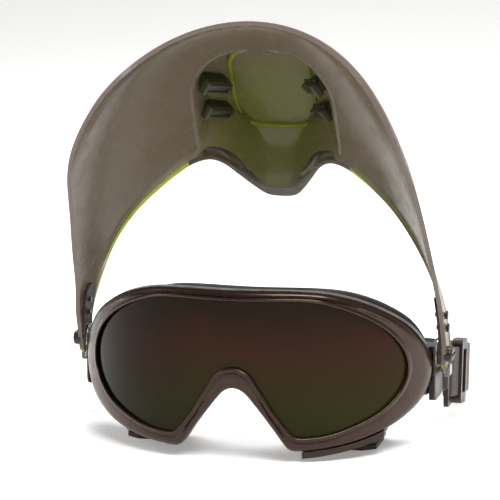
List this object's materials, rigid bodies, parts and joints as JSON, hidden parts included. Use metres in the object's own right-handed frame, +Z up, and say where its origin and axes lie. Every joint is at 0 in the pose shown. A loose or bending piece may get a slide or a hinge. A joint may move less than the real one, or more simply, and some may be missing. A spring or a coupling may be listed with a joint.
{
  "type": "welding goggles",
  "caption": "Panoramic welding goggles with a dark curved lens and a smoked green lower-face shield that flips up on temple pivots.",
  "frame": {"origin": "centre of the footprint, on the surface the goggles stand on", "axes": "+Z up, -Y the way the wearer looks, X across the face through both shield pivots"},
  "size_m": [0.1936, 0.1952, 0.2054],
  "materials": {
    "shade_lens": "gloss",
    "rim_plastic": "satin",
    "dark_plastic": "satin",
    "soft_body": "satin",
    "seal_rubber": "matte",
    "gasket_rubber": "matte",
    "shield_plastic": "gloss",
    "clear_plastic": "gloss",
    "strap_fabric": "woven",
    "pin_steel": "brushed"
  },
  "bodies": {
    "goggle": {"anchor_pin_left": "pin_steel", "anchor_pin_right": "pin_steel", "detent_ring_left": "pin_steel", "detent_ring_right": "pin_steel", "face_seal": "seal_rubber", "front_rim": "rim_plastic", "goggle_body": "soft_body", "lens": "shade_lens", "lens_gasket": "gasket_rubber", "lens_retainer_bar": "dark_plastic", "lower_vent_cover_left": "dark_plastic", "lower_vent_cover_right": "dark_plastic", "pivot_pin_left": "pin_steel", "pivot_pin_right": "pin_steel", "strap": "strap_fabric", "temple_bracket_left": "dark_plastic", "temple_bracket_right": "dark_plastic", "top_vent_baffle": "soft_body", "top_vent_cover": "dark_plastic", "wave_washer_left": "pin_steel", "wave_washer_right": "pin_steel"},
    "shield": {"arm_rivets_left": "pin_steel", "arm_rivets_right": "pin_steel", "hinge_plate_left": "dark_plastic", "hinge_plate_right": "dark_plastic", "louvre_hoods_left": "dark_plastic", "louvre_hoods_right": "dark_plastic", "shield": "shield_plastic"},
    "knob_left": {"pivot_knob_left": "dark_plastic"},
    "button_left": {"release_button_left": "clear_plastic"},
    "anchor_left": {"strap_anchor_left": "dark_plastic"},
    "knob_right": {"pivot_knob_right": "dark_plastic"},
    "button_right": {"release_button_right": "clear_plastic"},
    "anchor_right": {"strap_anchor_right": "dark_plastic"},
    "slider": {"strap_slider": "dark_plastic"}
  },
  "joints": [
    {"name": "shield_flip", "type": "hinge", "parent": "goggle", "child": "shield", "pos_m": [0, -0.0316, 0.0442], "axis": [1, 0, 0], "range_deg": [0, 130]},
    {"name": "knob_turn_left", "type": "hinge", "parent": "goggle", "child": "knob_left", "pos_m": [-0.0949, -0.0316, 0.0442], "axis": [-1, 0, 0], "range_deg": [0, 90]},
    {"name": "button_press_left", "type": "slide", "parent": "goggle", "child": "button_left", "axis": [1, 0, 0], "range_m": [0, 0.0014], "stiffness_N_per_m": 500},
    {"name": "anchor_swing_left", "type": "hinge", "parent": "goggle", "child": "anchor_left", "pos_m": [-0.0882, -0.0096, 0.0347], "axis": [0, 0, 1], "range_deg": [-7, 20]},
    {"name": "knob_turn_right", "type": "hinge", "parent": "goggle", "child": "knob_right", "pos_m": [0.0949, -0.0316, 0.0442], "axis": [1, 0, 0], "range_deg": [0, 90]},
    {"name": "button_press_right", "type": "slide", "parent": "goggle", "child": "button_right", "axis": [-1, 0, 0], "range_m": [0, 0.0014], "stiffness_N_per_m": 500},
    {"name": "anchor_swing_right", "type": "hinge", "parent": "goggle", "child": "anchor_right", "pos_m": [0.0882, -0.0096, 0.0347], "axis": [0, 0, -1], "range_deg": [-7, 20]},
    {"name": "slider_slide", "type": "slide", "parent": "goggle", "child": "slider", "axis": [0, 0.9888, -0.1495], "range_m": [0, 0.015]}
  ]
}
